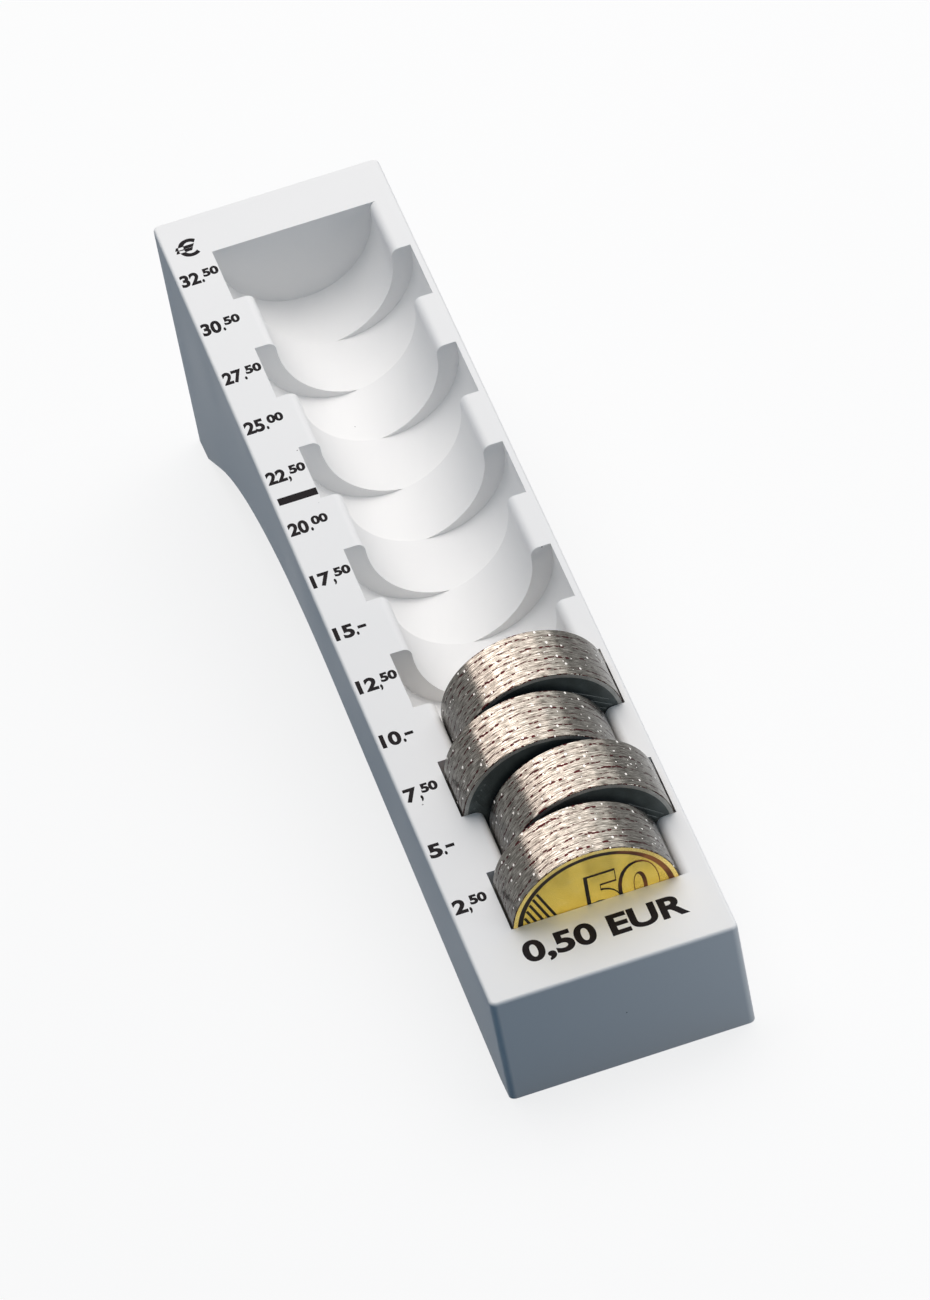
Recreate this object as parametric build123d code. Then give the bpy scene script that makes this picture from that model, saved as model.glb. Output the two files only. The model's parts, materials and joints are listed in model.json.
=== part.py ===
from build123d import *
import math
import os

# Coin counting tray, millimetres. A one-piece moulded tray whose top face slopes up to the rear.
# Thirteen pockets run up the top face in one channel, each for five coins, and every other
# pocket steps to the right, so that each stack of five shows as a step. The four front pockets
# hold four coins each, which lean forward over the front wall of their pocket.
#
# The shapes are drawn in the tray's own directions: X across to the right, Y up the slope
# along the top face, Z square out of the top face, from the middle of its front edge. The
# finished solids are then tipped by the slope angle and stood on the bench.

# Coins
COIN_DIAMETER = 24.25
COIN_THICKNESS = 2.38
COIN_RIM_WIDTH = 1.3
COIN_RECESS = 0.12
COIN_EDGE_RADIUS = 0.2
COINS_PER_POCKET = 5
STACKS = 4
COINS_IN_STACK = 4
STACK_LEAN = 6.0

# Channel of pockets
POCKET_COUNT = 13
POCKET_STAGGER = 1.55
POCKET_RADIAL_PLAY = 0.15
POCKET_LENGTH_PLAY = 0.2
POCKET_CENTRE_DEPTH = 1.5
RIDGE_ROUNDING = 1.3

# Margins of the top face round the channel
LEFT_MARGIN = 6.85
RIGHT_MARGIN = 1.05
FRONT_MARGIN = 12.9
REAR_MARGIN = 9.8

# Outside of the tray
SLOPE_ANGLE = 8.4
FRONT_HEIGHT = 18.4
REAR_FLARE = 3.5
FRONT_SOLE_LENGTH = 5.4
REAR_SOLE_LENGTH = 6.5
ARCH_RADIUS = 125.0
ARCH_APEX_FROM_REAR = 50.9
ARCH_APEX_RISE = 1.8
CORNER_RADIUS = 1.0
TOP_EDGE_RADIUS = 0.5

# Shell
OUTER_WALL = 1.8
TOP_WALL = 2.0
CHANNEL_WALL = 1.0

# Sizes that follow from the ones above
coin_radius = COIN_DIAMETER / 2
pocket_radius = coin_radius + POCKET_RADIAL_PLAY
pocket_length = COINS_PER_POCKET * COIN_THICKNESS + POCKET_LENGTH_PLAY
channel_length = POCKET_COUNT * pocket_length
tray_width = LEFT_MARGIN + 2 * (pocket_radius + POCKET_STAGGER) + RIGHT_MARGIN
tray_length = FRONT_MARGIN + channel_length + REAR_MARGIN
channel_x = -tray_width / 2 + LEFT_MARGIN + POCKET_STAGGER + pocket_radius
rear_bottom_y = tray_length + REAR_FLARE
slope = math.tan(math.radians(SLOPE_ANGLE))
channel_depth = POCKET_CENTRE_DEPTH + pocket_radius + CHANNEL_WALL
coin_gap = POCKET_LENGTH_PLAY / (COINS_PER_POCKET + 1)
seat_gap = POCKET_RADIAL_PLAY / 3
lean_sine = math.sin(math.radians(STACK_LEAN))
lean_cosine = math.cos(math.radians(STACK_LEAN))


def bench_depth(y):
    """Height of the bench under the top face, measured square to that face."""
    return -FRONT_HEIGHT - y * slope


def pocket_x(pocket):
    """Middle of a pocket, counted from 0 at the front: odd and even ones step apart."""
    side = -1 if pocket % 2 == 0 else 1
    return channel_x + side * POCKET_STAGGER


def pocket_y(pocket):
    """Front end of a pocket, counted from 0 at the front."""
    return FRONT_MARGIN + pocket * pocket_length


def across(section, x, width):
    """A side-view section in Y and Z, drawn out to the right from x over a width."""
    return extrude(Plane.YZ.offset(x) * section, width)


def along(section, y, length):
    """A front-view section in X and Z, drawn out up the slope from y over a length."""
    # Plane.XZ looks towards -Y, so the section goes back by a negative amount.
    return extrude(Plane.XZ.offset(-y) * section, -length)


def side_outline():
    """Side view: front block, arched underside, flared rear foot."""
    rear_sole_y = rear_bottom_y - REAR_SOLE_LENGTH
    # The straight runs under the front and the rear leg would meet here without the arch.
    # The arch between them then just covers the channel.
    arch_apex = (tray_length - ARCH_APEX_FROM_REAR, ARCH_APEX_RISE - channel_depth)
    points = [
        (0, 0),
        (0, -FRONT_HEIGHT),
        (FRONT_SOLE_LENGTH, bench_depth(FRONT_SOLE_LENGTH)),
        arch_apex,
        (rear_sole_y, bench_depth(rear_sole_y)),
        (rear_bottom_y, bench_depth(rear_bottom_y)),
        (tray_length, 0),
    ]
    outline = make_face(Polyline(points, close=True))
    apex_corner = outline.vertices().sort_by_distance(Vector(*arch_apex, 0))[0]
    return fillet(apex_corner, ARCH_RADIUS)


def outer_block():
    """The outside of the tray with its rounded corners, before it is hollowed."""
    block = across(side_outline(), -tray_width / 2, tray_width)
    ends = block.faces().filter_by(lambda face: abs(face.normal_at().Y) > 0.9)
    corners = [edge for edge in ends.edges() if abs(edge.tangent_at(0.5).Z) > 0.9]
    block = fillet(corners, CORNER_RADIUS)
    top_face = block.faces().sort_by(Axis.Z)[-1]
    return fillet(top_face.edges(), TOP_EDGE_RADIUS)


def cavity():
    """The hollow under the tray, open at the bottom."""
    below = bench_depth(rear_bottom_y) - OUTER_WALL
    lean = -REAR_FLARE / bench_depth(rear_bottom_y)
    points = [
        (OUTER_WALL, -TOP_WALL),
        (OUTER_WALL, below),
        (tray_length - OUTER_WALL - lean * below, below),
        (tray_length - OUTER_WALL + lean * TOP_WALL, -TOP_WALL),
    ]
    section = make_face(Polyline(points, close=True))
    return across(section, -tray_width / 2 + OUTER_WALL, tray_width - 2 * OUTER_WALL)


def pocket_section(pocket, radius, top):
    """Front view of a pocket: straight sides down to a round bottom."""
    centre = Location((pocket_x(pocket), -POCKET_CENTRE_DEPTH))
    sides_height = top + POCKET_CENTRE_DEPTH
    sides = centre * Rectangle(2 * radius, sides_height, align=(Align.CENTER, Align.MIN))
    return centre * Circle(radius) + sides


def channel_shell():
    """The outside of the channel wall, seen from below: it steps as the pockets do."""
    shell = None
    for pocket in range(POCKET_COUNT):
        section = pocket_section(pocket, pocket_radius + CHANNEL_WALL, -TOP_WALL / 2)
        y = pocket_y(pocket) - CHANNEL_WALL
        piece = along(section, y, pocket_length + 2 * CHANNEL_WALL)
        shell = piece if shell is None else shell + piece
    return shell


def ridge_rounding(pocket):
    """What is cut off the pocket's top edge on the side where the channel wall stands in."""
    side = 1 if pocket % 2 == 0 else -1
    edge_x = pocket_x(pocket) + side * pocket_radius
    corner = Location((edge_x + side * RIDGE_ROUNDING / 2, -RIDGE_ROUNDING / 2))
    arc_centre = Location((edge_x + side * RIDGE_ROUNDING, -RIDGE_ROUNDING))
    return corner * Rectangle(RIDGE_ROUNDING, RIDGE_ROUNDING) - arc_centre * Circle(RIDGE_ROUNDING)


def pockets():
    """All the pockets as one cutting solid."""
    cutter = None
    for pocket in range(POCKET_COUNT):
        section = pocket_section(pocket, pocket_radius, pocket_radius)
        section = section + ridge_rounding(pocket)
        piece = along(section, pocket_y(pocket), pocket_length)
        cutter = piece if cutter is None else cutter + piece
    return cutter


def tray_body():
    """The whole moulding: a shell that is open below, with the channel sunk in its top."""
    block = outer_block()
    walls = block - cavity()
    return walls + (channel_shell() & block) - pockets()


def coin():
    """One coin lying flat on its lower face, with a raised rim on both faces."""
    blank = extrude(Circle(coin_radius), COIN_THICKNESS)
    blank = fillet(blank.edges(), COIN_EDGE_RADIUS)
    field = Circle(coin_radius - COIN_RIM_WIDTH)
    lower_recess = extrude(field, COIN_RECESS)
    upper_recess = Pos(0, 0, COIN_THICKNESS - COIN_RECESS) * lower_recess
    return blank - lower_recess - upper_recess


def coin_place(pocket, number):
    """Where a coin stands in its pocket: on edge, seated on the bottom, leaning to the front.

    The stack's front face passes just behind the top edge of the pocket's front wall.
    """
    pocket_bottom = -POCKET_CENTRE_DEPTH - pocket_radius
    behind_edge = coin_gap + number * (COIN_THICKNESS + coin_gap)
    x = pocket_x(pocket)
    z = pocket_bottom + seat_gap + coin_radius * lean_cosine
    y = pocket_y(pocket) + (behind_edge - z * lean_sine) / lean_cosine
    return Pos(x, y, z) * Rot(-90 + STACK_LEAN, 0, 0)


def standing_place(tray):
    """Tips the tray by the slope angle and stands it on Z = 0 with the origin under its middle."""
    tip = Rot(SLOPE_ANGLE, 0, 0)
    box = (tip * tray).bounding_box()
    return Pos(-box.center().X, -box.center().Y, -box.min.Z) * tip


def write(name, solid):
    solid.label = name
    export_step(solid, "parts/" + name + ".step")


os.makedirs("parts", exist_ok=True)
tray = tray_body()
standing = standing_place(tray)
write("tray_body", standing * tray)
blank_coin = coin()
for pocket in range(STACKS):
    for number in range(COINS_IN_STACK):
        name = "coin_{:02d}".format(pocket * COINS_IN_STACK + number + 1)
        write(name, standing * coin_place(pocket, number) * blank_coin)
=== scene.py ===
"""Coin counting tray with sixteen coins: finishes, struck coins, printed scale, light, camera."""
import json
import math
import random

import bpy
from mathutils import Matrix, Vector


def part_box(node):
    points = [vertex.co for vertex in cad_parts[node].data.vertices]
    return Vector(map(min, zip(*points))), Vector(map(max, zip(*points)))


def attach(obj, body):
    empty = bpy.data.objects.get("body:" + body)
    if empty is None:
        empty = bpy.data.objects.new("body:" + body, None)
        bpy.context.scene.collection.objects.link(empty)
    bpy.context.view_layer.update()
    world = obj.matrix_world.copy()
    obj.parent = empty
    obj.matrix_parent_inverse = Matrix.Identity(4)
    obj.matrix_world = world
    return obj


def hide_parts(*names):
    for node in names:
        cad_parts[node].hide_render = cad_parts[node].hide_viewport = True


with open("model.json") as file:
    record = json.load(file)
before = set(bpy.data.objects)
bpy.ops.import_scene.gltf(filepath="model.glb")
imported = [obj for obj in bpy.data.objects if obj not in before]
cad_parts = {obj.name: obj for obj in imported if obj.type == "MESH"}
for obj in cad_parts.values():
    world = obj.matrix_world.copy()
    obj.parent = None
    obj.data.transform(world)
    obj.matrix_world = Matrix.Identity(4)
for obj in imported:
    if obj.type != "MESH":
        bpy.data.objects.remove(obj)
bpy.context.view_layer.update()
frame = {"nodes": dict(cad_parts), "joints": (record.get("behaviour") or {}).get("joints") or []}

MM = 0.001

# The tray, as it is built
POCKET_LENGTH = 12.1 * MM
FRONT_MARGIN = 12.9 * MM
FRONT_HEIGHT = 18.4 * MM
SLOPE = math.radians(8.4)

# Coins
COIN_RADIUS = 12.125 * MM
COIN_THICKNESS = 2.38 * MM
COIN_EDGE_ROUNDING = 0.12 * MM
RIM_WIDTH = 0.7 * MM
RIM_STEP_WIDTH = 0.78 * MM
FIELD_DEPTH = 0.12 * MM
COIN_SIDES = 120
FIELD_LEVEL = COIN_THICKNESS / 2 - FIELD_DEPTH
FIELD_RADIUS = COIN_RADIUS - RIM_WIDTH - RIM_STEP_WIDTH
LEVEL_NORMAL = 0.99
BLANK_SMOOTHING = math.radians(12)
RELIEF_SMOOTHING = math.radians(35)

# The value on a coin's front, measured from the coin's middle, and the dark outline round it, set off to
# the left and down as a painted shadow of the raised digits
VALUE_HEIGHT = 9.6 * MM
VALUE_WIDTH = 10.4 * MM
VALUE_MIDDLE = Vector((3.95, 2.3)) * MM
VALUE_WEIGHT = 0.03
VALUE_RELIEF = 0.1 * MM
SHADOW_OUTLINE_WEIGHT = 0.062
SHADOW_OUTLINE_RELIEF = 0.03 * MM
SHADOW_OUTLINE_SHIFT = Vector((-0.2, -0.08)) * MM

# The hatch to the left of the value. HATCH_FIRST is a point on its rightmost line.
HATCH_LINES = 5
HATCH_PITCH = 0.88 * MM
HATCH_LINE_WIDTH = 0.4 * MM
HATCH_LINE_HEIGHT = 0.1 * MM
HATCH_LINE_ROUNDING = 0.03 * MM
HATCH_FIRST = Vector((-6.6, 3.5)) * MM
HATCH_FOOT = -3.0 * MM
HATCH_TOP_GAP = 0.12 * MM
HATCH_LEAN = math.radians(21)

# The ring of rays on a coin's back
RAYS = 24
RAY_RING_RADIUS = 5.6 * MM
RAY_HALF_WIDTH = 0.5 * MM
RAY_LONGER_THAN_WIDE = 4.2
RAY_HEIGHT = 0.09 * MM
RAY_DARK_FOOT_SHARE = 0.3

# The dashes on a coin's edge run in two rows: along its middle and along the joint with the next.
DASH_ROW_PITCH = 1.2

# The front coins of the three rear stacks have dark faces and rims: painted shade for the recesses
# between the stacks. The back coins of all four have dark faces, so that they throw little light into the
# gaps behind them: painted shade too, on the last coin a worn, dim brown that is partly wear.
STACK_FRONTS = ("coin_05", "coin_09", "coin_13")
STACK_BACKS = ("coin_04", "coin_08", "coin_12", "coin_16")

# Every coin but the first is turned by chance.
TURN_SEED = 7

# Printed scale, measured on the top face from its front left corner
PRINT_THICKNESS = 0.02 * MM
DIGIT_HEIGHT = 2.85 * MM
DIGIT_WEIGHT = 0.042
SMALL_DIGIT_HEIGHT = 1.9 * MM
SMALL_DIGIT_RISE = 0.1 * MM
SMALL_DIGIT_WEIGHT = 0.05
WHOLE_WIDTHS = {1: 1.9 * MM, 2: 2.95 * MM}
SMALL_WIDTH = 2.45 * MM
LABEL_LEFT = 0.65 * MM
LABEL_RISE = 1.35 * MM
MARK_GAP = 0.16 * MM
MARK_WIDTH = 0.38 * MM
SMALL_GAP = 0.06 * MM
DASH_WIDTH = 1.25 * MM
DASH_RISE = 0.55 * MM
DASH_WEIGHT = 0.035
LABELS = (
    ("2", ",", "50"), ("5", ".", "-"), ("7", ",", "50"), ("10", ".", "-"), ("12", ",", "50"),
    ("15", ".", "-"), ("17", ",", "50"), ("20", ".", "00"), ("22", ",", "50"), ("25", ".", "00"),
    ("27", ".", "50"), ("30", ".", "50"), ("32", ".", "50"),
)

# The bar across the scale
BAR_AFTER_POCKET = 8
BAR_RISE = 1.75 * MM
BAR_MIDDLE = 3.85 * MM
BAR_LENGTH = 5.9 * MM
BAR_WIDTH = 1.6 * MM
BAR_ROUNDING = 0.12 * MM

# The unit above the scale and the value in front of the channel: height, left, right, foot
UNIT_PLACE = (3.9 * MM, 1.75 * MM, 5.25 * MM, 170.7 * MM)
UNIT_WEIGHT = 0.03
FRONT_VALUE_PLACE = (4.2 * MM, 7.0 * MM, 30.4 * MM, 5.7 * MM)
FRONT_VALUE_WEIGHT = 0.034

# Half the depth of lettering before it is scaled, where text size is 1
HALF_DEPTH = 0.5

# Camera. Here and for the lamps, azimuth 0 is behind the tray and 90 to its right.
CAMERA_AIM = Vector((1.6, -6.57, 15.61)) * MM
CAMERA_AZIMUTH = 187.445
CAMERA_ELEVATION = 33.878
CAMERA_ROLL = -13.435
CAMERA_DISTANCE = 1.2829
CAMERA_LENS = 247.4

# Floor and lamps, in metres
FLOOR_SIZE = 6.0
FLOOR_GAP = 0.05 * MM
FLOOR_GLOW_SHARE = 0.8
FLOOR_BOUNCE_COLOUR = (0.028, 0.07, 0.118, 1)
AMBIENT_COLOUR = (0.078, 0.125, 0.177, 1)
OVERHEAD_COLOUR = (1.0, 0.955, 0.915)
FRONT_RIGHT_EDGE = Vector((17.8, -94.1, 10)) * MM
GLOSS_DISTANCE = 0.9
GLOSS_WIDTH = 0.42
GLOSS_HEIGHT = 0.26
GLOSS_COLOUR = (1.0, 0.86, 0.80)
FACE_LAMP_COLOUR = (1.0, 0.93, 0.8)


# ---------------------------------------------------------------- places on the sloping top

tray_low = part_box("tray_body")[0]
front_edge = Vector((tray_low.x, tray_low.y, FRONT_HEIGHT * math.cos(SLOPE)))
TOP_FACE = Matrix.Translation(front_edge) @ Matrix.Rotation(SLOPE, 4, "X")

# The coins stand in the plane that they are lifted in, their faces down the slope.
lift = Vector(frame["joints"][0]["axis"])
STANDING = Matrix.Rotation(math.atan2(-lift.y, lift.z) + math.pi / 2, 4, "X")


# ---------------------------------------------------------------- small helpers

def select_only(*objects):
    bpy.ops.object.select_all(action="DESELECT")
    for one in objects:
        one.select_set(True)
    bpy.context.view_layer.objects.active = objects[0]


def new_piece(name):
    piece = bpy.context.object
    piece.name = name
    piece.data.name = name
    return piece


def join(name, pieces):
    select_only(*pieces)
    if len(pieces) > 1:
        bpy.ops.object.join()
    return new_piece(name)


def shade_smooth(piece, angle):
    """Smooth shading that still breaks where two faces meet at more than an angle."""
    select_only(piece)
    bpy.ops.object.shade_smooth_by_angle(angle=angle)


def mesh_box(piece):
    corners = [vertex.co for vertex in piece.data.vertices]
    low = Vector([min(corner[axis] for corner in corners) for axis in range(3)])
    high = Vector([max(corner[axis] for corner in corners) for axis in range(3)])
    return low, high


def is_level(face):
    return abs(face.normal.z) > LEVEL_NORMAL


def select_faces(piece, wanted):
    """In edit mode, selects just the faces for which wanted(face) is true."""
    bpy.ops.mesh.select_mode(type="FACE")
    bpy.ops.mesh.select_all(action="DESELECT")
    bpy.ops.object.mode_set(mode="OBJECT")
    for face in piece.data.polygons:
        face.select = wanted(face)
    bpy.ops.object.mode_set(mode="EDIT")


def round_edges(piece, offset, segments):
    """Rounds every edge of a piece by a bevel."""
    select_only(piece)
    bpy.ops.object.mode_set(mode="EDIT")
    bpy.ops.mesh.select_all(action="SELECT")
    bpy.ops.mesh.bevel(offset=offset, segments=segments, affect="EDGES", clamp_overlap=True)
    bpy.ops.object.mode_set(mode="OBJECT")


def text_mesh(name, body, weight, resolution):
    """Lettering as a mesh at text size 1, as deep above its plane as below it."""
    bpy.ops.object.text_add()
    text = bpy.context.object
    text.data.body = body
    text.data.offset = weight
    text.data.resolution_u = resolution
    text.data.extrude = HALF_DEPTH
    bpy.ops.object.convert(target="MESH")
    return new_piece(name)


def copy_of(piece, name):
    twin = piece.copy()
    twin.data = piece.data.copy()
    twin.name = twin.data.name = name
    bpy.context.scene.collection.objects.link(twin)
    return twin


# ---------------------------------------------------------------- nodes and shared effects

def feed(tree, socket, value):
    """Links an output to a socket, or sets the socket to a plain value or colour."""
    if hasattr(value, "links"):
        tree.links.new(value, socket)
    elif isinstance(value, tuple):
        socket.default_value = (*value, 1.0)
    else:
        socket.default_value = value


def reckon(tree, operation, first, second):
    """A math node on two outputs or plain values."""
    node = tree.nodes.new("ShaderNodeMath")
    node.operation = operation
    feed(tree, node.inputs[0], first)
    feed(tree, node.inputs[1], second)
    return node.outputs[0]


def effect_group(name, settings, masks):
    """A node group with a vector and some settings as its inputs and some masks as its outputs."""
    group = bpy.data.node_groups.new(name, "ShaderNodeTree")
    group.interface.new_socket("Vector", in_out="INPUT", socket_type="NodeSocketVector")
    for label in settings:
        group.interface.new_socket(label, in_out="INPUT", socket_type="NodeSocketFloat")
    for label in masks:
        group.interface.new_socket(label, in_out="OUTPUT", socket_type="NodeSocketFloat")
    return group, group.nodes.new("NodeGroupInput"), group.nodes.new("NodeGroupOutput")


def fine_grain_effect():
    """A fine even grain and a slow drift, as two masks."""
    settings = ("Grain Scale", "Drift Scale")
    group, given, result = effect_group("fine grain", settings, ("Grain", "Drift"))
    grain = group.nodes.new("ShaderNodeTexNoise")
    grain.inputs["Detail"].default_value = 3.0
    grain.inputs["Roughness"].default_value = 0.6
    drift = group.nodes.new("ShaderNodeTexNoise")
    drift.inputs["Detail"].default_value = 2.0
    for noise, scale in ((grain, "Grain Scale"), (drift, "Drift Scale")):
        group.links.new(given.outputs["Vector"], noise.inputs["Vector"])
        group.links.new(given.outputs[scale], noise.inputs["Scale"])
    group.links.new(grain.outputs["Fac"], result.inputs["Grain"])
    group.links.new(drift.outputs["Fac"], result.inputs["Drift"])
    return group


def flecks_effect():
    """Scattered flecks, as a mask that is 1 inside a fleck. Share is how many of them are kept."""
    group, given, result = effect_group("flecks", ("Scale", "Size", "Share"), ("Mask",))
    cells = group.nodes.new("ShaderNodeTexVoronoi")
    group.links.new(given.outputs["Vector"], cells.inputs["Vector"])
    group.links.new(given.outputs["Scale"], cells.inputs["Scale"])
    inside = reckon(group, "LESS_THAN", cells.outputs["Distance"], given.outputs["Size"])
    split = group.nodes.new("ShaderNodeSeparateColor")
    group.links.new(cells.outputs["Color"], split.inputs["Color"])
    kept = reckon(group, "LESS_THAN", split.outputs["Red"], given.outputs["Share"])
    both = reckon(group, "MULTIPLY", inside, kept)
    group.links.new(both, result.inputs["Mask"])
    return group


FINE_GRAIN = fine_grain_effect()
FLECKS = flecks_effect()


# ---------------------------------------------------------------- materials

class Finish:
    """A material under construction, with short ways to add and join its nodes."""

    def __init__(self, name, metallic=0.0):
        self.material = bpy.data.materials.new(name)
        self.material.use_nodes = True
        self.tree = self.material.node_tree
        self.nodes = self.tree.nodes
        self.links = self.tree.links
        self.shader = self.nodes["Principled BSDF"]
        self.shader.inputs["Metallic"].default_value = metallic
        self.coordinates = self.nodes.new("ShaderNodeTexCoord")

    def effect(self, group, source, **values):
        node = self.nodes.new("ShaderNodeGroup")
        node.node_tree = group
        self.links.new(source, node.inputs["Vector"])
        for label, value in values.items():
            node.inputs[label.replace("_", " ")].default_value = value
        return node

    def stretched(self, source, scale):
        mapping = self.nodes.new("ShaderNodeMapping")
        mapping.inputs["Scale"].default_value = scale
        self.links.new(source, mapping.inputs["Vector"])
        return mapping.outputs["Vector"]

    def ramp(self, source, stops):
        node = self.nodes.new("ShaderNodeValToRGB")
        elements = node.color_ramp.elements
        while len(elements) < len(stops):
            elements.new(0.5)
        for element, (position, colour) in zip(elements, stops):
            element.position = position
            element.color = (*colour, 1.0)
        self.links.new(source, node.inputs["Fac"])
        return node.outputs["Color"]

    def span(self, source, low, high, start=0.0, end=1.0):
        """Spreads a mask, which runs from start to end, over low to high."""
        node = self.nodes.new("ShaderNodeMapRange")
        node.inputs["From Min"].default_value = start
        node.inputs["From Max"].default_value = end
        node.inputs["To Min"].default_value = low
        node.inputs["To Max"].default_value = high
        self.links.new(source, node.inputs["Value"])
        return node.outputs["Result"]

    def mixed(self, mask, first, second):
        """One colour where the mask is 0, another where it is 1."""
        node = self.nodes.new("ShaderNodeMix")
        node.data_type = "RGBA"
        # The node has sockets for each kind of value. Inputs 6 and 7 and output 2 are the colours.
        for place, value in (("Factor", mask), (6, first), (7, second)):
            feed(self.tree, node.inputs[place], value)
        return node.outputs[2]

    def reckon(self, operation, first, second):
        return reckon(self.tree, operation, first, second)

    def axis(self, source, name):
        split = self.nodes.new("ShaderNodeSeparateXYZ")
        self.links.new(source, split.inputs["Vector"])
        return split.outputs[name]

    def bump(self, height, strength, distance, under=None):
        node = self.nodes.new("ShaderNodeBump")
        node.inputs["Strength"].default_value = strength
        node.inputs["Distance"].default_value = distance
        self.links.new(height, node.inputs["Height"])
        if under is not None:
            self.links.new(under, node.inputs["Normal"])
        return node.outputs["Normal"]

    def set(self, label, source):
        self.links.new(source, self.shader.inputs[label])


def tray_plastic():
    """Pale grey moulded plastic with a silky gloss, and a speck of dust here and there."""
    finish = Finish("tray plastic")
    place = finish.coordinates.outputs["Object"]
    grain = finish.effect(FINE_GRAIN, place, Grain_Scale=3200.0, Drift_Scale=45.0)
    pale_greys = ((0.3, (0.85, 0.845, 0.84)), (0.7, (0.872, 0.866, 0.858)))
    tint = finish.ramp(grain.outputs["Drift"], pale_greys)
    dust = finish.effect(FLECKS, place, Scale=260.0, Size=0.035, Share=0.1)
    finish.set("Base Color", finish.mixed(dust.outputs["Mask"], tint, (0.3, 0.29, 0.29)))
    finish.set("Roughness", finish.span(grain.outputs["Drift"], 0.55, 0.65, 0.3, 0.7))
    finish.set("Normal", finish.bump(grain.outputs["Grain"], 0.08, 0.05 * MM))
    finish.shader.inputs["IOR"].default_value = 1.5
    finish.shader.inputs["Specular IOR Level"].default_value = 0.22
    return finish.material


def printing_ink():
    """Black ink, a little uneven, with a dull gloss."""
    finish = Finish("printing ink")
    place = finish.coordinates.outputs["Object"]
    grain = finish.effect(FINE_GRAIN, place, Grain_Scale=5200.0, Drift_Scale=500.0)
    blacks = ((0.35, (0.005, 0.004, 0.005)), (0.75, (0.018, 0.014, 0.016)))
    finish.set("Base Color", finish.ramp(grain.outputs["Grain"], blacks))
    finish.set("Roughness", finish.span(grain.outputs["Drift"], 0.6, 0.75))
    finish.set("Normal", finish.bump(grain.outputs["Grain"], 0.06, 0.02 * MM))
    finish.shader.inputs["Specular IOR Level"].default_value = 0.08
    return finish.material


def coin_alloy(name, colours, bloom_colour, metallic=1.0):
    """A coin's face or rim: three shades that drift, with a duller bloom here and there."""
    finish = Finish(name, metallic)
    flat = finish.coordinates.outputs["UV"]
    grain = finish.effect(FINE_GRAIN, flat, Grain_Scale=14.0, Drift_Scale=0.5)
    colour = finish.ramp(grain.outputs["Drift"], tuple(zip((0.3, 0.6, 0.8), colours)))
    bloom = finish.span(grain.outputs["Grain"], 0.0, 0.25, 0.5, 0.75)
    finish.set("Base Color", finish.mixed(bloom, colour, bloom_colour))
    finish.set("Roughness", finish.span(grain.outputs["Grain"], 0.2, 0.34, 0.3, 0.7))
    finish.set("Normal", finish.bump(grain.outputs["Grain"], 0.1, 0.03 * MM))
    return finish.material


def coin_tarnish_and_shade():
    """The steps of the relief: a dark line, partly tarnish from handling and partly painted shade of the
    step, darkest to the left and browner to the right.
    """
    finish = Finish("coin tarnish and painted shade", metallic=0.3)
    flat = finish.coordinates.outputs["UV"]
    grain = finish.effect(FINE_GRAIN, flat, Grain_Scale=20.0, Drift_Scale=0.22)
    # Painted shade: the line is darker to the coin's left and browner to its right.
    shade_fading_rightward = finish.span(finish.axis(flat, "X"), 0.3, 0.62, -3.0, 9.0)
    drift = finish.span(grain.outputs["Drift"], -0.12, 0.12, 0.3, 0.7)
    shade_and_tone = finish.reckon("ADD", shade_fading_rightward, drift)
    browns = ((0.42, (0.006, 0.003, 0.003)), (0.5, (0.035, 0.009, 0.005)), (0.64, (0.26, 0.09, 0.03)))
    finish.set("Base Color", finish.ramp(shade_and_tone, browns))
    finish.set("Roughness", finish.span(grain.outputs["Grain"], 0.45, 0.65))
    return finish.material


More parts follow.
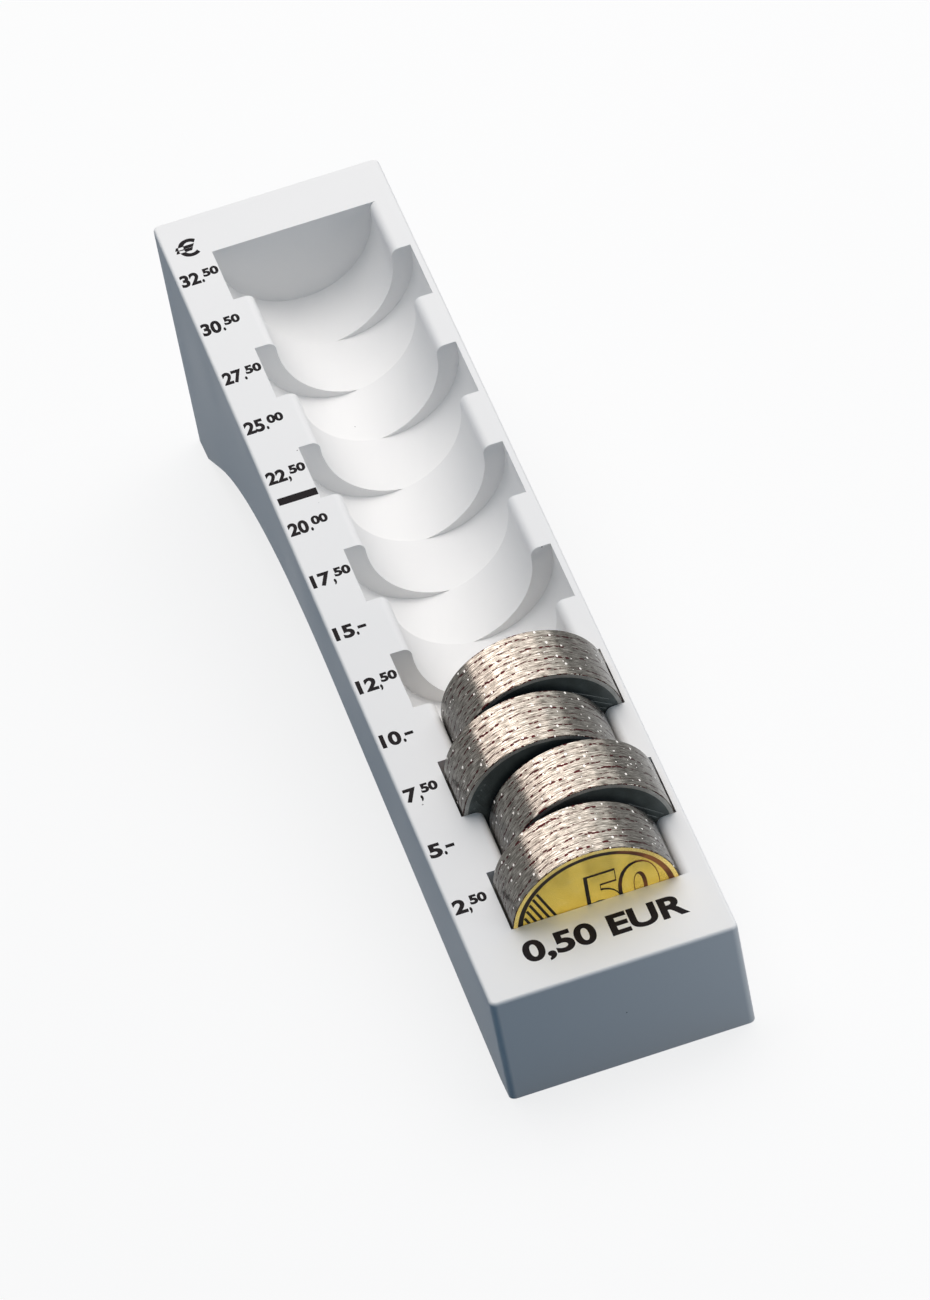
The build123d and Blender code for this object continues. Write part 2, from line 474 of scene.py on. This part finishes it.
def coin_edge():
    """The milled edge: metal painted dark grey as a painted dark reflection, with streaks drawn round it,
    rows of dark dashes, pale specks.
    """
    finish = Finish("coin edge")
    around = finish.coordinates.outputs["UV"]
    drawn_round = finish.stretched(around, (0.45, 6.0, 1.0))
    streaks = finish.effect(FINE_GRAIN, drawn_round, Grain_Scale=1.5, Drift_Scale=0.5)
    patches = finish.effect(FINE_GRAIN, around, Grain_Scale=4.0, Drift_Scale=0.35)
    # Painted dark reflection: the metal is dark grey, so its sides read dark though they reflect pale
    # surroundings.
    dark_reflection_greys = ((0.34, (0.032, 0.030, 0.026)), (0.5, (0.105, 0.099, 0.087)), (0.64, (0.25, 0.24, 0.22)))
    metal = finish.ramp(streaks.outputs["Grain"], dark_reflection_greys)

    # Flecks that lie in a row show as its dashes, with a thin line along the row under them.
    wander = finish.span(patches.outputs["Drift"], -0.16, 0.16, 0.35, 0.65)
    across = finish.reckon("ADD", finish.axis(around, "Y"), wander)
    from_row = finish.reckon("PINGPONG", across, DASH_ROW_PITCH / 2)
    in_row = finish.span(from_row, 1.0, 0.0, 0.15, 0.22)
    dash_cells = finish.stretched(around, (0.95, 1.35, 1.0))
    dashes = finish.effect(FLECKS, dash_cells, Scale=1.5, Size=0.5, Share=0.8)
    dashed = finish.reckon("MULTIPLY", in_row, dashes.outputs["Mask"])
    row_line = finish.span(from_row, 0.55, 0.0, 0.02, 0.08)
    dark = finish.reckon("MAXIMUM", dashed, row_line)

    # Pale specks, which are not metal and are brightest on the dark sides.
    pale_speck_cells = finish.stretched(around, (1.0, 0.8, 1.0))
    pale_specks = finish.effect(FLECKS, pale_speck_cells, Scale=0.85, Size=0.16, Share=0.8)
    scored = finish.mixed(dark, metal, (0.026, 0.003, 0.004))
    finish.set("Base Color", finish.mixed(pale_specks.outputs["Mask"], scored, (0.78, 0.77, 0.74)))
    finish.set("Metallic", finish.span(pale_specks.outputs["Mask"], 1.0, 0.0))
    gloss = finish.span(patches.outputs["Grain"], 0.14, 0.26, 0.3, 0.7)
    finish.set("Roughness", finish.reckon("MAXIMUM", gloss, finish.span(dark, 0.0, 0.4)))
    rings = finish.bump(streaks.outputs["Grain"], 0.1, 0.05 * MM)
    finish.set("Normal", finish.bump(dark, 0.3, -0.04 * MM, under=rings))
    return finish.material


PLASTIC = tray_plastic()
INK = printing_ink()
GOLD_COLOURS = ((0.90, 0.68, 0.13), (0.95, 0.74, 0.17), (0.97, 0.78, 0.24))
# The worn and dark colours are painted shade for coins that stand in the recesses between and behind the
# stacks.
WORN_DIM_COLOURS = ((0.16, 0.15, 0.12), (0.20, 0.185, 0.15), (0.24, 0.22, 0.18))
SHADE_COLOURS = ((0.045, 0.055, 0.058), (0.06, 0.075, 0.08), (0.08, 0.10, 0.105))
RIM_COLOURS = ((0.93, 0.70, 0.20), (0.97, 0.77, 0.26), (0.99, 0.82, 0.36))
SHADE_RIM_COLOURS = ((0.24, 0.25, 0.25), (0.32, 0.33, 0.33), (0.40, 0.41, 0.41))
FRESH_FACE = coin_alloy("coin gold", GOLD_COLOURS, (0.78, 0.47, 0.10), metallic=0.55)
WORN_DIM_FACE = coin_alloy("coin worn dim face", WORN_DIM_COLOURS, (0.10, 0.07, 0.04))
SHADE_FACE = coin_alloy("coin painted shade face", SHADE_COLOURS, (0.03, 0.03, 0.03), metallic=0.2)
FRESH_RIM = coin_alloy("coin rim", RIM_COLOURS, (0.85, 0.60, 0.22), metallic=0.5)
SHADE_RIM = coin_alloy("coin painted shade rim", SHADE_RIM_COLOURS, (0.12, 0.12, 0.11), metallic=0.4)

# A coin's finishes, and the index of each among its materials
COIN_FINISHES = (FRESH_FACE, coin_tarnish_and_shade(), coin_edge(), FRESH_RIM)
GOLD, TARNISH_AND_SHADE, EDGE, RIM = range(4)


# ---------------------------------------------------------------- coins

def give_finishes(piece, index_of):
    """Gives a piece all the coin's finishes, and each face the one that index_of(face) names."""
    piece.data.materials.clear()
    for finish in COIN_FINISHES:
        piece.data.materials.append(finish)
    for face in piece.data.polygons:
        face.material_index = index_of(face)


def coin_blank():
    """A round blank with rounded edges and a field sunk inside a rim on both faces."""
    bpy.ops.mesh.primitive_cylinder_add(vertices=COIN_SIDES, radius=COIN_RADIUS, depth=COIN_THICKNESS)
    blank = new_piece("coin_blank")
    give_finishes(blank, lambda face: GOLD if is_level(face) else EDGE)
    bpy.ops.object.mode_set(mode="EDIT")
    select_faces(blank, is_level)
    bpy.ops.mesh.region_to_loop()
    bpy.ops.mesh.bevel(offset=COIN_EDGE_ROUNDING, segments=3, affect="EDGES", material=EDGE)
    select_faces(blank, is_level)
    bpy.ops.mesh.inset(thickness=RIM_WIDTH - COIN_EDGE_ROUNDING, use_individual=True)
    bpy.ops.mesh.inset(thickness=RIM_STEP_WIDTH, depth=-FIELD_DEPTH, use_individual=True)
    bpy.ops.object.mode_set(mode="OBJECT")
    for face in blank.data.polygons:
        out = math.hypot(face.center.x, face.center.y)
        # The faces of the step inside the rim get the tarnish and painted shade, a dark ring.
        if FIELD_RADIUS < out < COIN_RADIUS - RIM_WIDTH:
            face.material_index = TARNISH_AND_SHADE
        elif face.material_index == GOLD and out > COIN_RADIUS - RIM_WIDTH:
            face.material_index = RIM
    return blank


def coin_digits(name, weight, relief, middle, top, sides):
    """The value in plain digits on the field, with a finish for their top and one for their sides."""
    digits = text_mesh(name, "50", weight, resolution=6)
    low, high = mesh_box(digits)
    digits.data.transform(Matrix.Translation(-(low + high) / 2))
    # Heavier digits keep the scale of the plain ones and grow on all sides.
    grown = 2 * (weight - VALUE_WEIGHT)
    scale_x = VALUE_WIDTH / (high.x - low.x - grown)
    scale_y = VALUE_HEIGHT / (high.y - low.y - grown)
    digits.data.transform(Matrix.Diagonal((scale_x, scale_y, relief / HALF_DEPTH, 1)))
    digits.data.transform(Matrix.Translation((*middle, FIELD_LEVEL)))
    give_finishes(digits, lambda face: top if face.normal.z > LEVEL_NORMAL else sides)
    return digits


def coin_hatch():
    """Parallel dark lines on the field beside the value, each from the rim's step downwards."""
    lines = []
    reach = FIELD_RADIUS - HATCH_TOP_GAP
    upwards = Vector((-math.sin(HATCH_LEAN), math.cos(HATCH_LEAN)))
    for number in range(HATCH_LINES):
        point = HATCH_FIRST - Vector((number * HATCH_PITCH / math.cos(HATCH_LEAN), 0))
        # Both ends are distances from the point along the line.
        past = point.dot(upwards)
        top = -past + math.sqrt(past ** 2 - point.length_squared + reach ** 2)
        foot = (HATCH_FOOT - point.y) / upwards.y
        bpy.ops.mesh.primitive_cube_add(size=1)
        line = new_piece("hatch_line")
        line.data.transform(Matrix.Diagonal((HATCH_LINE_WIDTH, top - foot, HATCH_LINE_HEIGHT, 1)))
        line.data.transform(Matrix.Rotation(HATCH_LEAN, 4, "Z"))
        middle = point + upwards * (top + foot) / 2
        line.data.transform(Matrix.Translation((*middle, FIELD_LEVEL)))
        round_edges(line, HATCH_LINE_ROUNDING, segments=1)
        # The lines are dark with the tarnish and painted shade of the relief.
        give_finishes(line, lambda face: TARNISH_AND_SHADE)
        lines.append(line)
    return lines


def coin_ray():
    """A long low petal, cut from an icosphere, with its flat side at the origin."""
    bpy.ops.mesh.primitive_ico_sphere_add(subdivisions=2, radius=RAY_HALF_WIDTH)
    ray = new_piece("ray")
    bpy.ops.object.mode_set(mode="EDIT")
    bpy.ops.mesh.select_all(action="SELECT")
    bpy.ops.mesh.bisect(plane_co=(0, 0, 0), plane_no=(0, 0, 1), clear_inner=True)
    bpy.ops.object.mode_set(mode="OBJECT")
    ray.data.transform(Matrix.Diagonal((RAY_LONGER_THAN_WIDE, 1, RAY_HEIGHT / RAY_HALF_WIDTH, 1)))
    # The foot of the ray gets the tarnish and painted shade of the relief.
    give_finishes(ray, lambda face: GOLD if face.center.z > RAY_DARK_FOOT_SHARE * RAY_HEIGHT else TARNISH_AND_SHADE)
    shade_smooth(ray, RELIEF_SMOOTHING)
    return ray


def ring_of_rays():
    """Rays in a ring on the coin's back, which point outwards."""
    ray = coin_ray()
    onto_back = Matrix.Translation((RAY_RING_RADIUS, 0, -FIELD_LEVEL)) @ Matrix.Rotation(math.pi, 4, "X")
    copies = []
    for number in range(RAYS):
        one = copy_of(ray, "ray_copy")
        one.data.transform(Matrix.Rotation(2 * math.pi * number / RAYS, 4, "Z") @ onto_back)
        copies.append(one)
    bpy.data.objects.remove(ray)
    return copies


def lay_out_coin(coin):
    """Writes the coin's map in millimetres: round and across its edge, flat on its faces."""
    layer = coin.data.uv_layers[0] if coin.data.uv_layers else coin.data.uv_layers.new(name="UVMap")
    for face in coin.data.polygons:
        around_face = math.atan2(face.center.y, face.center.x)
        for loop in face.loop_indices:
            point = coin.data.vertices[coin.data.loops[loop].vertex_index].co
            if face.material_index == EDGE:
                # A whole turn is added or taken where the angle jumps, so that no face is torn.
                angle = math.atan2(point.y, point.x)
                angle += 2 * math.pi * round((around_face - angle) / (2 * math.pi))
                layer.data[loop].uv = (angle * COIN_RADIUS / MM, point.z / MM)
            else:
                layer.data[loop].uv = (point.x / MM, point.y / MM)


def model_coin():
    """One struck coin, centred, with its axis on Z and its value facing +Z."""
    # The digits' sides get the tarnish and painted shade of the relief.
    relief = [coin_digits("value", VALUE_WEIGHT, VALUE_RELIEF, VALUE_MIDDLE, GOLD, TARNISH_AND_SHADE)]
    # The dark outline is painted shadow: it is shifted so that it shows mostly to the left of and below
    # the digits.
    shadow_outline_middle = VALUE_MIDDLE + SHADOW_OUTLINE_SHIFT
    relief.append(
        coin_digits("value_painted_shadow", SHADOW_OUTLINE_WEIGHT, SHADOW_OUTLINE_RELIEF, shadow_outline_middle, TARNISH_AND_SHADE, TARNISH_AND_SHADE)
    )
    relief += coin_hatch()
    for part in relief:
        shade_smooth(part, RELIEF_SMOOTHING)
    blank = coin_blank()
    shade_smooth(blank, BLANK_SMOOTHING)
    coin = join("coin_pattern", [blank] + relief + ring_of_rays())
    lay_out_coin(coin)
    return coin


def place_coins():
    pattern = model_coin()
    chance = random.Random(TURN_SEED)
    names = sorted(name for name in frame["nodes"] if name.startswith("coin_"))
    coins = []
    for name in names:
        low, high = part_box(name)
        turn = 0.0 if name == names[0] else chance.uniform(-math.pi, math.pi)
        coin = copy_of(pattern, name.replace("coin_", "struck_coin_"))
        place = Matrix.Translation((low + high) / 2) @ STANDING
        coin.data.transform(place @ Matrix.Rotation(turn, 4, "Z"))
        # Painted shade: dark faces and rims on the coins whose faces lie in the recesses between and
        # behind the stacks.
        if name in STACK_FRONTS:
            coin.data.materials[GOLD] = SHADE_FACE
            coin.data.materials[TARNISH_AND_SHADE] = SHADE_FACE
            coin.data.materials[RIM] = SHADE_RIM
        if name in STACK_BACKS:
            back = WORN_DIM_FACE if name == names[-1] else SHADE_FACE
            coin.data.materials[GOLD] = back
            coin.data.materials[RIM] = back
        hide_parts(name)
        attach(coin, name)
        coins.append(coin)
    bpy.data.objects.remove(pattern)
    return coins


# ---------------------------------------------------------------- printing

def glyphs(text, weight):
    return text_mesh("glyphs", text, weight, resolution=8)


def digit_size(weight):
    """Height of a plain digit at text size 1, so that a printed digit gets its true height."""
    sample = glyphs("1", weight)
    low, high = mesh_box(sample)
    bpy.data.objects.remove(sample)
    return high.y - low.y


def lettering(text, height, left, right, base, weight=DIGIT_WEIGHT):
    """Lettering on the top face, by the height of its digits, its two ends and its foot."""
    piece = glyphs(text, weight)
    low, high = mesh_box(piece)
    piece.data.transform(Matrix.Translation((-low.x, 0, HALF_DEPTH)))
    across = (right - left) / (high.x - low.x)
    upwards = height / digit_size(weight)
    piece.data.transform(Matrix.Diagonal((across, upwards, PRINT_THICKNESS / (2 * HALF_DEPTH), 1)))
    piece.data.transform(Matrix.Translation((left, base, 0)))
    return piece


def print_on_top(name, pieces):
    """Joins lettering into one printed piece on the sloping top face."""
    piece = join(name, pieces)
    piece.data.transform(TOP_FACE)
    piece.data.materials.clear()
    piece.data.materials.append(INK)
    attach(piece, "tray")


def print_label(pocket, whole, mark, small):
    """A number of the scale: full digits, a mark on the line and small raised digits."""
    middle = FRONT_MARGIN + (pocket + 0.5) * POCKET_LENGTH + LABEL_RISE
    base = middle - DIGIT_HEIGHT / 2
    whole_right = LABEL_LEFT + WHOLE_WIDTHS[len(whole)]
    mark_left = whole_right + MARK_GAP
    mark_right = mark_left + MARK_WIDTH
    small_left = mark_right + SMALL_GAP
    pieces = [
        lettering(whole, DIGIT_HEIGHT, LABEL_LEFT, whole_right, base),
        lettering(mark, DIGIT_HEIGHT, mark_left, mark_right, base),
    ]
    if small == "-":
        dash_right = small_left + DASH_WIDTH
        dash_base = base + DASH_RISE
        pieces.append(lettering(small, DIGIT_HEIGHT, small_left, dash_right, dash_base, DASH_WEIGHT))
    else:
        small_right = small_left + SMALL_WIDTH
        raised = base + DIGIT_HEIGHT - SMALL_DIGIT_HEIGHT + SMALL_DIGIT_RISE
        digits = (SMALL_DIGIT_HEIGHT, small_left, small_right, raised, SMALL_DIGIT_WEIGHT)
        pieces.append(lettering(small, *digits))
    print_on_top("scale_number_{:02d}".format(pocket + 1), pieces)


def print_bar():
    """The thick bar across the scale after the eighth pocket."""
    middle = FRONT_MARGIN + BAR_AFTER_POCKET * POCKET_LENGTH + BAR_RISE
    bpy.ops.mesh.primitive_cube_add(size=1)
    bar = new_piece("bar")
    bar.data.transform(Matrix.Diagonal((BAR_LENGTH, BAR_WIDTH, PRINT_THICKNESS, 1)))
    bar.data.transform(Matrix.Translation((BAR_MIDDLE, middle, PRINT_THICKNESS / 2)))
    round_edges(bar, BAR_ROUNDING, segments=3)
    print_on_top("scale_bar", [bar])


def print_scale():
    for pocket, label in enumerate(LABELS):
        print_label(pocket, *label)
    print_bar()
    print_on_top("scale_unit", [lettering("€", *UNIT_PLACE, weight=UNIT_WEIGHT)])
    print_on_top("front_value", [lettering("0,50 EUR", *FRONT_VALUE_PLACE, weight=FRONT_VALUE_WEIGHT)])


# ---------------------------------------------------------------- set and light

def floor_material():
    """Nearly white to the camera and in reflections, and dim blue in the light it throws back."""
    material = bpy.data.materials.new("floor")
    material.use_nodes = True
    tree = material.node_tree
    tree.nodes.remove(tree.nodes["Principled BSDF"])
    pale = tree.nodes.new("ShaderNodeBsdfDiffuse")
    pale.inputs["Color"].default_value = (0.9, 0.9, 0.9, 1)
    white = tree.nodes.new("ShaderNodeEmission")
    white.inputs["Strength"].default_value = 1.0
    dim = tree.nodes.new("ShaderNodeBsdfDiffuse")
    dim.inputs["Color"].default_value = FLOOR_BOUNCE_COLOUR
    shown = mixed_shaders(tree, FLOOR_GLOW_SHARE, pale, white)
    mix = mixed_shaders(tree, seen_directly(tree), dim, shown)
    tree.links.new(mix.outputs[0], tree.nodes["Material Output"].inputs["Surface"])
    return material


def mixed_shaders(tree, share, first, second):
    """A mix of two shader nodes, with the share of the second as a value or an output."""
    mix = tree.nodes.new("ShaderNodeMixShader")
    feed(tree, mix.inputs["Fac"], share)
    tree.links.new(first.outputs[0], mix.inputs[1])
    tree.links.new(second.outputs[0], mix.inputs[2])
    return mix


def seen_directly(tree):
    """1 for what the camera sees, straight or in a reflection or through glass."""
    path = tree.nodes.new("ShaderNodeLightPath")
    seen = path.outputs["Is Camera Ray"]
    for label in ("Is Glossy Ray", "Is Transmission Ray"):
        seen = reckon(tree, "MAXIMUM", seen, path.outputs[label])
    return seen


def lay_floor():
    bpy.ops.mesh.primitive_plane_add(size=FLOOR_SIZE, location=(0, 0, -FLOOR_GAP))
    floor = new_piece("floor")
    floor.data.materials.append(floor_material())


def light_world():
    """White to the camera and in reflections, and dim blue in the light it gives."""
    world = bpy.data.worlds.new("studio")
    bpy.context.scene.world = world
    world.use_nodes = True
    tree = world.node_tree
    ambient = tree.nodes["Background"]
    ambient.inputs["Color"].default_value = AMBIENT_COLOUR
    ambient.inputs["Strength"].default_value = 1.0
    shown = tree.nodes.new("ShaderNodeBackground")
    shown.inputs["Color"].default_value = (1, 1, 1, 1)
    mix = mixed_shaders(tree, seen_directly(tree), ambient, shown)
    tree.links.new(mix.outputs[0], tree.nodes["World Output"].inputs["Surface"])


def away_from_tray(azimuth, elevation):
    """The direction from the tray towards a place given by its azimuth and elevation."""
    turn, rise = math.radians(azimuth), math.radians(elevation)
    return Vector((math.sin(turn) * math.cos(rise), math.cos(turn) * math.cos(rise), math.sin(rise)))


def facing(direction, roll):
    """The rotation of a lamp or camera that looks in a direction, turned by roll degrees about it."""
    level = direction.to_track_quat("-Z", "Y").to_matrix()
    return (level @ Matrix.Rotation(math.radians(roll), 3, "Z")).to_euler()


def soft_box(name, azimuth, elevation, distance, width, height, power, roll=0.0, aim=CAMERA_AIM):
    """An area light that faces the tray."""
    away = away_from_tray(azimuth, elevation)
    bpy.ops.object.light_add(type="AREA", location=aim + away * distance)
    lamp = bpy.context.object
    lamp.name = name
    lamp.rotation_euler = facing(-away, roll)
    lamp.data.shape = "RECTANGLE"
    lamp.data.size = width
    lamp.data.size_y = height
    lamp.data.energy = power
    return lamp


def gloss_lamp(name, azimuth, elevation, power, roll):
    """A soft box whose reflection is a band across the coins' edges."""
    lamp = soft_box(name, azimuth, elevation, GLOSS_DISTANCE, GLOSS_WIDTH, GLOSS_HEIGHT, power, roll)
    lamp.data.color = GLOSS_COLOUR
    return lamp


def light_only(lamp, pieces):
    """Lets a lamp reach only the pieces given."""
    reached = bpy.data.collections.new(lamp.name + " reach")
    for piece in pieces:
        reached.objects.link(piece)
    lamp.light_linking.receiver_collection = reached


def place_lamps(coins):
    """Light for all of it, and lamps that reach only the coins, which would burn out the tray."""
    overhead = soft_box("overhead", 30, 70, distance=0.75, width=1.0, height=1.0, power=7.65)
    overhead.data.color = OVERHEAD_COLOUR
    soft_box(
        "front right", 125, 10, distance=0.14, width=0.06, height=0.06, power=0.05, aim=FRONT_RIGHT_EDGE
    )
    light_only(gloss_lamp("gloss left", azimuth=-48, elevation=43, power=2.1, roll=-72), coins)
    light_only(gloss_lamp("gloss upper left", azimuth=-26, elevation=60, power=1.95, roll=-36), coins)
    light_only(gloss_lamp("gloss middle", azimuth=25, elevation=61, power=1.05, roll=24), coins)
    face_lamp = soft_box("coin face", 185, 18, distance=0.9, width=0.3, height=0.3, power=3.0)
    face_lamp.data.color = FACE_LAMP_COLOUR
    light_only(face_lamp, coins)


def place_camera():
    away = away_from_tray(CAMERA_AZIMUTH, CAMERA_ELEVATION)
    bpy.ops.object.camera_add(location=CAMERA_AIM + away * CAMERA_DISTANCE)
    camera = bpy.context.object
    camera.rotation_euler = facing(-away, CAMERA_ROLL)
    camera.data.lens = CAMERA_LENS
    camera.data.clip_start = 0.05
    bpy.context.scene.camera = camera


# ---------------------------------------------------------------- the scene

bpy.ops.object.select_all(action="DESELECT")
for name, node in frame["nodes"].items():
    node.data.materials.clear()
    node.data.materials.append(PLASTIC if name == "tray_body" else COIN_FINISHES[EDGE])

struck_coins = place_coins()
print_scale()
lay_floor()
light_world()
place_lamps(struck_coins)
place_camera()
bpy.context.scene.view_settings.view_transform = "Standard"
